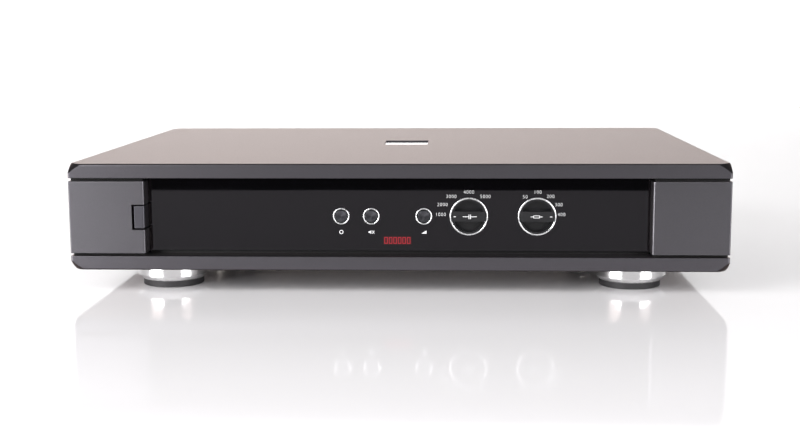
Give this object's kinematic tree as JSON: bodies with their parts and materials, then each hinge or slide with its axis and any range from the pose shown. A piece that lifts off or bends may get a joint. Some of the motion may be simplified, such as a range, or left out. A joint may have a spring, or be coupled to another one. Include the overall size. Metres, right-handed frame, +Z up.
{
  "type": "phono preamplifier",
  "caption": "Low wide hi-fi case with a recessed gloss fascia, push buttons, recessed rotary selectors with grip bars, turned feet, rear sockets and internal supply.",
  "frame": {"origin": "middle of the footprint on the surface the feet stand on", "axes": "+X to the right seen from the front, -Y towards the user through the fascia, +Z up"},
  "size_m": [0.433, 0.316, 0.0873],
  "materials": {
    "badge_plate": "polished",
    "board_screws": "zinc plated",
    "board_standoffs": "turned",
    "bottom_plate": "bead-blasted black anodised",
    "capacitance_bezel": "polished",
    "capacitance_knob": "satin black",
    "capacitance_rotary_switch": "moulded",
    "capacitance_shaft": "turned",
    "case_screws": "black oxide",
    "control_board": "circuit board",
    "fascia_backing": "black anodised",
    "fascia_panel": "gloss black",
    "foot_front_left": "turned and polished",
    "foot_front_right": "turned and polished",
    "foot_pads": "matt black",
    "foot_rear_left": "turned and polished",
    "foot_rear_right": "turned and polished",
    "foot_screws": "zinc plated",
    "gain_bezel": "polished",
    "gain_button": "spun black anodised",
    "ground_nut": "gold plated, fluted",
    "ground_post": "gold plated",
    "ground_washer": "gold plated",
    "heatsink": "black anodised",
    "indicator_lens": "gloss red",
    "inlet_pins": "nickel plated",
    "jack_insulators_left": "white",
    "jack_insulators_right": "red",
    "jack_nuts": "gold plated",
    "lamp_board": "circuit board with lamps",
    "left_block": "bead-blasted black anodised",
    "left_side_panel": "bead-blasted black anodised",
    "lid_posts": "turned",
    "load_bezel": "polished",
    "load_knob": "satin black",
    "load_rotary_switch": "moulded",
    "load_shaft": "turned",
    "main_board": "circuit board",
    "mains_inlet": "moulded",
    "mono_bezel": "polished",
    "mono_button": "spun black anodised",
    "mute_bezel": "polished",
    "mute_button": "spun black anodised",
    "phono_jacks": "gold plated",
    "plate_gaskets": "matt black",
    "power_button": "bead-blasted anodised",
    "power_switch": "moulded",
    "power_switch_bracket": "zinc plated",
    "push_switches": "moulded",
    "rear_panel": "black anodised",
    "regulators": "moulded",
    "ribbon_cable": "ribbon",
    "right_block": "bead-blasted black anodised",
    "right_side_panel": "bead-blasted black anodised",
    "shield_can": "tin plated",
    "smoothing_capacitors": "sleeved can",
    "top_plate": "bead-blasted black anodised",
    "transformer": "taped winding",
    "transformer_bolt": "zinc plated",
    "transformer_clamp": "zinc plated"
  },
  "bodies": {
    "case": {"badge_plate": "badge_plate", "board_screws": "board_screws", "board_standoffs": "board_standoffs", "bottom_plate": "bottom_plate", "capacitance_bezel": "capacitance_bezel", "capacitance_rotary_switch": "capacitance_rotary_switch", "case_screws": "case_screws", "control_board": "control_board", "fascia_backing": "fascia_backing", "fascia_panel": "fascia_panel", "foot_front_left": "foot_front_left", "foot_front_right": "foot_front_right", "foot_pads": "foot_pads", "foot_rear_left": "foot_rear_left", "foot_rear_right": "foot_rear_right", "foot_screws": "foot_screws", "gain_bezel": "gain_bezel", "ground_post": "ground_post", "heatsink": "heatsink", "indicator_lens": "indicator_lens", "inlet_pins": "inlet_pins", "jack_insulators_left": "jack_insulators_left", "jack_insulators_right": "jack_insulators_right", "jack_nuts": "jack_nuts", "lamp_board": "lamp_board", "left_block": "left_block", "left_side_panel": "left_side_panel", "lid_posts": "lid_posts", "load_bezel": "load_bezel", "load_rotary_switch": "load_rotary_switch", "main_board": "main_board", "mains_inlet": "mains_inlet", "mono_bezel": "mono_bezel", "mute_bezel": "mute_bezel", "phono_jacks": "phono_jacks", "plate_gaskets": "plate_gaskets", "power_switch": "power_switch", "power_switch_bracket": "power_switch_bracket", "push_switches": "push_switches", "rear_panel": "rear_panel", "regulators": "regulators", "ribbon_cable": "ribbon_cable", "right_block": "right_block", "right_side_panel": "right_side_panel", "shield_can": "shield_can", "smoothing_capacitors": "smoothing_capacitors", "top_plate": "top_plate", "transformer": "transformer", "transformer_bolt": "transformer_bolt", "transformer_clamp": "transformer_clamp"},
    "mono_button": {"mono_button": "mono_button"},
    "mute_button": {"mute_button": "mute_button"},
    "gain_button": {"gain_button": "gain_button"},
    "capacitance_knob": {"capacitance_knob": "capacitance_knob", "capacitance_shaft": "capacitance_shaft"},
    "load_knob": {"load_knob": "load_knob", "load_shaft": "load_shaft"},
    "power_button": {"power_button": "power_button"},
    "ground_washer": {"ground_washer": "ground_washer"},
    "ground_nut": {"ground_nut": "ground_nut"}
  },
  "joints": [
    {"name": "mono_press", "type": "slide", "parent": "case", "child": "mono_button", "axis": [0, 1, 0], "range_m": [0, 0.0012], "stiffness_N_per_m": 500, "springref_m": -0.0008},
    {"name": "mute_press", "type": "slide", "parent": "case", "child": "mute_button", "axis": [0, 1, 0], "range_m": [0, 0.0012], "stiffness_N_per_m": 500, "springref_m": -0.0008},
    {"name": "gain_press", "type": "slide", "parent": "case", "child": "gain_button", "axis": [0, 1, 0], "range_m": [0, 0.0012], "stiffness_N_per_m": 500, "springref_m": -0.0008},
    {"name": "power_press", "type": "slide", "parent": "case", "child": "power_button", "axis": [0, 1, 0], "range_m": [0, 0.0025], "stiffness_N_per_m": 600, "springref_m": -0.0012},
    {"name": "capacitance_turn", "type": "hinge", "parent": "case", "child": "capacitance_knob", "pos_m": [0.04735, -0.145, 0.0515], "axis": [0, 1, 0], "range_deg": [0, 120]},
    {"name": "load_turn", "type": "hinge", "parent": "case", "child": "load_knob", "pos_m": [0.09215, -0.145, 0.0515], "axis": [0, 1, 0], "range_deg": [-120, 0]},
    {"name": "washer_slide", "type": "slide", "parent": "case", "child": "ground_washer", "axis": [0, 1, 0], "range_m": [0, 0.001]},
    {"name": "nut_turn", "type": "hinge", "parent": "ground_washer", "child": "ground_nut", "pos_m": [0.182, 0.153, 0.05], "axis": [0, 1, 0], "range_deg": [0, 515]}
  ],
  "couplings": [
    {"joint": "nut_turn", "follows": "washer_slide", "rad_per_m": 8976}
  ]
}
